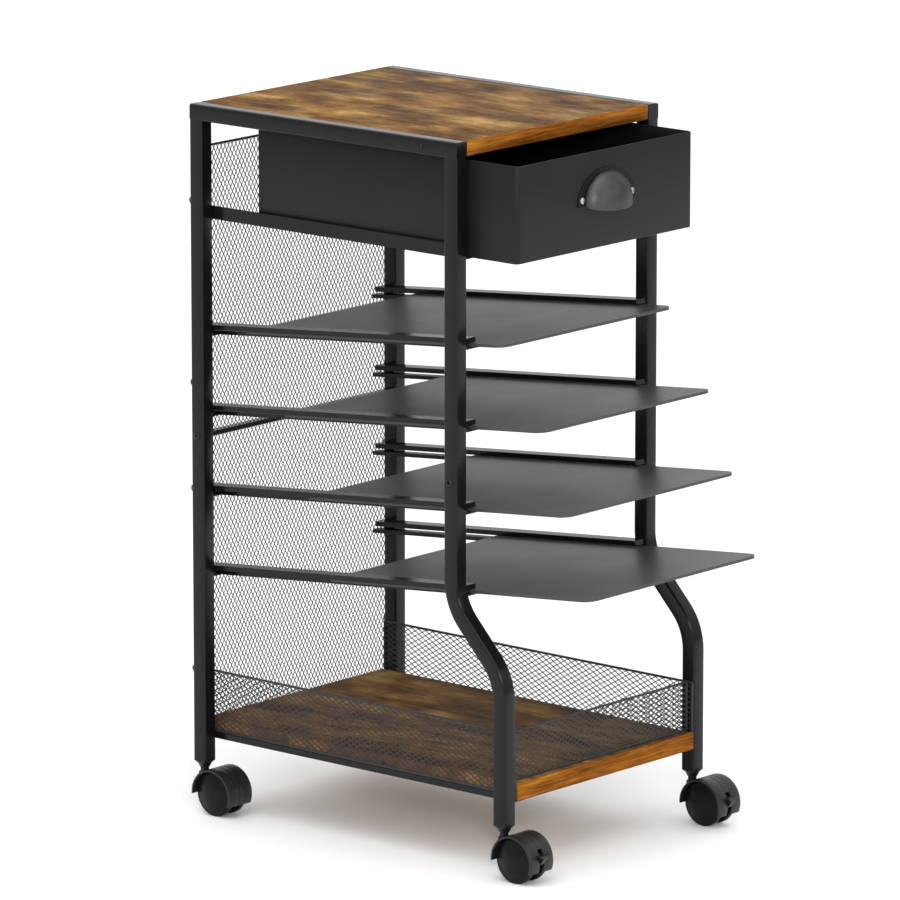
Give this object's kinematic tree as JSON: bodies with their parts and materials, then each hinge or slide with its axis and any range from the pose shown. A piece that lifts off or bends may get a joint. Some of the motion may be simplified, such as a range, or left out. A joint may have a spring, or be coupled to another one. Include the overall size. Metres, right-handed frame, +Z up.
{
  "type": "mobile file cart",
  "caption": "Rolling office file cart: square-tube frame with S-bent front legs, wood top and base, sheet-steel drawer, sloping slide-out trays, mesh back and mesh-sided base shelf.",
  "frame": {"origin": "on the floor, under the middle of the cart's bounding box as it stands with its drawer and trays pulled out", "axes": "+Z up, the drawer and trays open toward -Y, +X to the right of a person who faces the drawer"},
  "size_m": [0.3286, 0.5051, 0.7285],
  "materials": {
    "frame_steel": "dark grey powder coat, satin",
    "sheet_steel": "dark grey powder coat on folded sheet, satin",
    "mesh_steel": "dark grey powder coat on expanded mesh",
    "board_wood": "rustic brown wood-grain board, satin",
    "pull_metal": "black painted pressing, semi-gloss",
    "caster_plastic": "moulded dark plastic, satin",
    "stem_steel": "turned steel"
  },
  "bodies": {
    "frame": {"left_rear_leg": "frame_steel", "right_rear_leg": "frame_steel", "left_front_leg": "frame_steel", "right_front_leg": "frame_steel", "left_top_rail": "frame_steel", "right_top_rail": "frame_steel", "left_drawer_rail": "frame_steel", "right_drawer_rail": "frame_steel", "left_base_rail": "frame_steel", "right_base_rail": "frame_steel", "left_tray_rail_1": "frame_steel", "right_tray_rail_1": "frame_steel", "left_tray_rail_2": "frame_steel", "right_tray_rail_2": "frame_steel", "left_tray_rail_3": "frame_steel", "right_tray_rail_3": "frame_steel", "left_tray_rail_4": "frame_steel", "right_tray_rail_4": "frame_steel", "rear_cross_bar": "frame_steel", "top_board": "board_wood", "base_board": "board_wood", "back_mesh_panel": "mesh_steel", "left_basket_fence": "mesh_steel", "right_basket_fence": "mesh_steel", "front_basket_fence": "mesh_steel", "left_front_leg_socket": "caster_plastic", "right_front_leg_socket": "caster_plastic", "left_rear_leg_socket": "caster_plastic", "right_rear_leg_socket": "caster_plastic"},
    "drawer": {"drawer_box": "sheet_steel", "cup_pull": "pull_metal"},
    "tray_1": {"tray_1": "sheet_steel"},
    "tray_2": {"tray_2": "sheet_steel"},
    "tray_3": {"tray_3": "sheet_steel"},
    "tray_4": {"tray_4": "sheet_steel"},
    "left_front_caster": {"left_front_caster_hood": "caster_plastic", "left_front_caster_stem": "stem_steel", "left_front_caster_axle": "stem_steel"},
    "right_front_caster": {"right_front_caster_hood": "caster_plastic", "right_front_caster_stem": "stem_steel", "right_front_caster_axle": "stem_steel"},
    "left_rear_caster": {"left_rear_caster_hood": "caster_plastic", "left_rear_caster_stem": "stem_steel", "left_rear_caster_axle": "stem_steel"},
    "right_rear_caster": {"right_rear_caster_hood": "caster_plastic", "right_rear_caster_stem": "stem_steel", "right_rear_caster_axle": "stem_steel"},
    "left_front_wheel_a": {"left_front_caster_wheel_a": "caster_plastic"},
    "left_front_wheel_b": {"left_front_caster_wheel_b": "caster_plastic"},
    "right_front_wheel_a": {"right_front_caster_wheel_a": "caster_plastic"},
    "right_front_wheel_b": {"right_front_caster_wheel_b": "caster_plastic"},
    "left_rear_wheel_a": {"left_rear_caster_wheel_a": "caster_plastic"},
    "left_rear_wheel_b": {"left_rear_caster_wheel_b": "caster_plastic"},
    "right_rear_wheel_a": {"right_rear_caster_wheel_a": "caster_plastic"},
    "right_rear_wheel_b": {"right_rear_caster_wheel_b": "caster_plastic"},
    "left_front_brake": {"left_front_caster_brake": "caster_plastic"},
    "right_front_brake": {"right_front_caster_brake": "caster_plastic"}
  },
  "joints": [
    {"name": "drawer_slide", "type": "slide", "parent": "frame", "child": "drawer", "axis": [0, -1, 0], "range_m": [-0.06, 0.16]},
    {"name": "tray_1_slide", "type": "slide", "parent": "frame", "child": "tray_1", "axis": [0, -0.9961, 0.0882], "range_m": [-0.032, 0.128]},
    {"name": "tray_2_slide", "type": "slide", "parent": "frame", "child": "tray_2", "axis": [0, -0.9961, 0.0882], "range_m": [-0.083, 0.077]},
    {"name": "tray_3_slide", "type": "slide", "parent": "frame", "child": "tray_3", "axis": [0, -0.9961, 0.0882], "range_m": [-0.113, 0.047]},
    {"name": "tray_4_slide", "type": "slide", "parent": "frame", "child": "tray_4", "axis": [0, -0.9961, 0.0882], "range_m": [-0.143, 0.017]},
    {"name": "left_front_swivel", "type": "hinge", "parent": "frame", "child": "left_front_caster", "pos_m": [-0.14675, -0.15645, 0.05], "axis": [0, 0, 1], "continuous": true},
    {"name": "right_front_swivel", "type": "hinge", "parent": "frame", "child": "right_front_caster", "pos_m": [0.14675, -0.15645, 0.05], "axis": [0, 0, 1], "continuous": true},
    {"name": "left_rear_swivel", "type": "hinge", "parent": "frame", "child": "left_rear_caster", "pos_m": [-0.14675, 0.24255, 0.05], "axis": [0, 0, 1], "continuous": true},
    {"name": "right_rear_swivel", "type": "hinge", "parent": "frame", "child": "right_rear_caster", "pos_m": [0.14675, 0.24255, 0.05], "axis": [0, 0, 1], "continuous": true},
    {"name": "left_front_wheel_a_spin", "type": "hinge", "parent": "left_front_caster", "child": "left_front_wheel_a", "pos_m": [-0.14675, -0.17945, 0.023], "axis": [1, 0, 0], "continuous": true},
    {"name": "left_front_wheel_b_spin", "type": "hinge", "parent": "left_front_caster", "child": "left_front_wheel_b", "pos_m": [-0.14675, -0.17945, 0.023], "axis": [1, 0, 0], "continuous": true},
    {"name": "right_front_wheel_a_spin", "type": "hinge", "parent": "right_front_caster", "child": "right_front_wheel_a", "pos_m": [0.14675, -0.17945, 0.023], "axis": [1, 0, 0], "continuous": true},
    {"name": "right_front_wheel_b_spin", "type": "hinge", "parent": "right_front_caster", "child": "right_front_wheel_b", "pos_m": [0.14675, -0.17945, 0.023], "axis": [1, 0, 0], "continuous": true},
    {"name": "left_rear_wheel_a_spin", "type": "hinge", "parent": "left_rear_caster", "child": "left_rear_wheel_a", "pos_m": [-0.14675, 0.21955, 0.023], "axis": [1, 0, 0], "continuous": true},
    {"name": "left_rear_wheel_b_spin", "type": "hinge", "parent": "left_rear_caster", "child": "left_rear_wheel_b", "pos_m": [-0.14675, 0.21955, 0.023], "axis": [1, 0, 0], "continuous": true},
    {"name": "right_rear_wheel_a_spin", "type": "hinge", "parent": "right_rear_caster", "child": "right_rear_wheel_a", "pos_m": [0.14675, 0.21955, 0.023], "axis": [1, 0, 0], "continuous": true},
    {"name": "right_rear_wheel_b_spin", "type": "hinge", "parent": "right_rear_caster", "child": "right_rear_wheel_b", "pos_m": [0.14675, 0.21955, 0.023], "axis": [1, 0, 0], "continuous": true},
    {"name": "left_front_brake_tilt", "type": "hinge", "parent": "left_front_caster", "child": "left_front_brake", "pos_m": [-0.14675, -0.19395, 0.028], "axis": [1, 0, 0], "range_deg": [0, 18]},
    {"name": "right_front_brake_tilt", "type": "hinge", "parent": "right_front_caster", "child": "right_front_brake", "pos_m": [0.14675, -0.19395, 0.028], "axis": [1, 0, 0], "range_deg": [0, 18]}
  ]
}
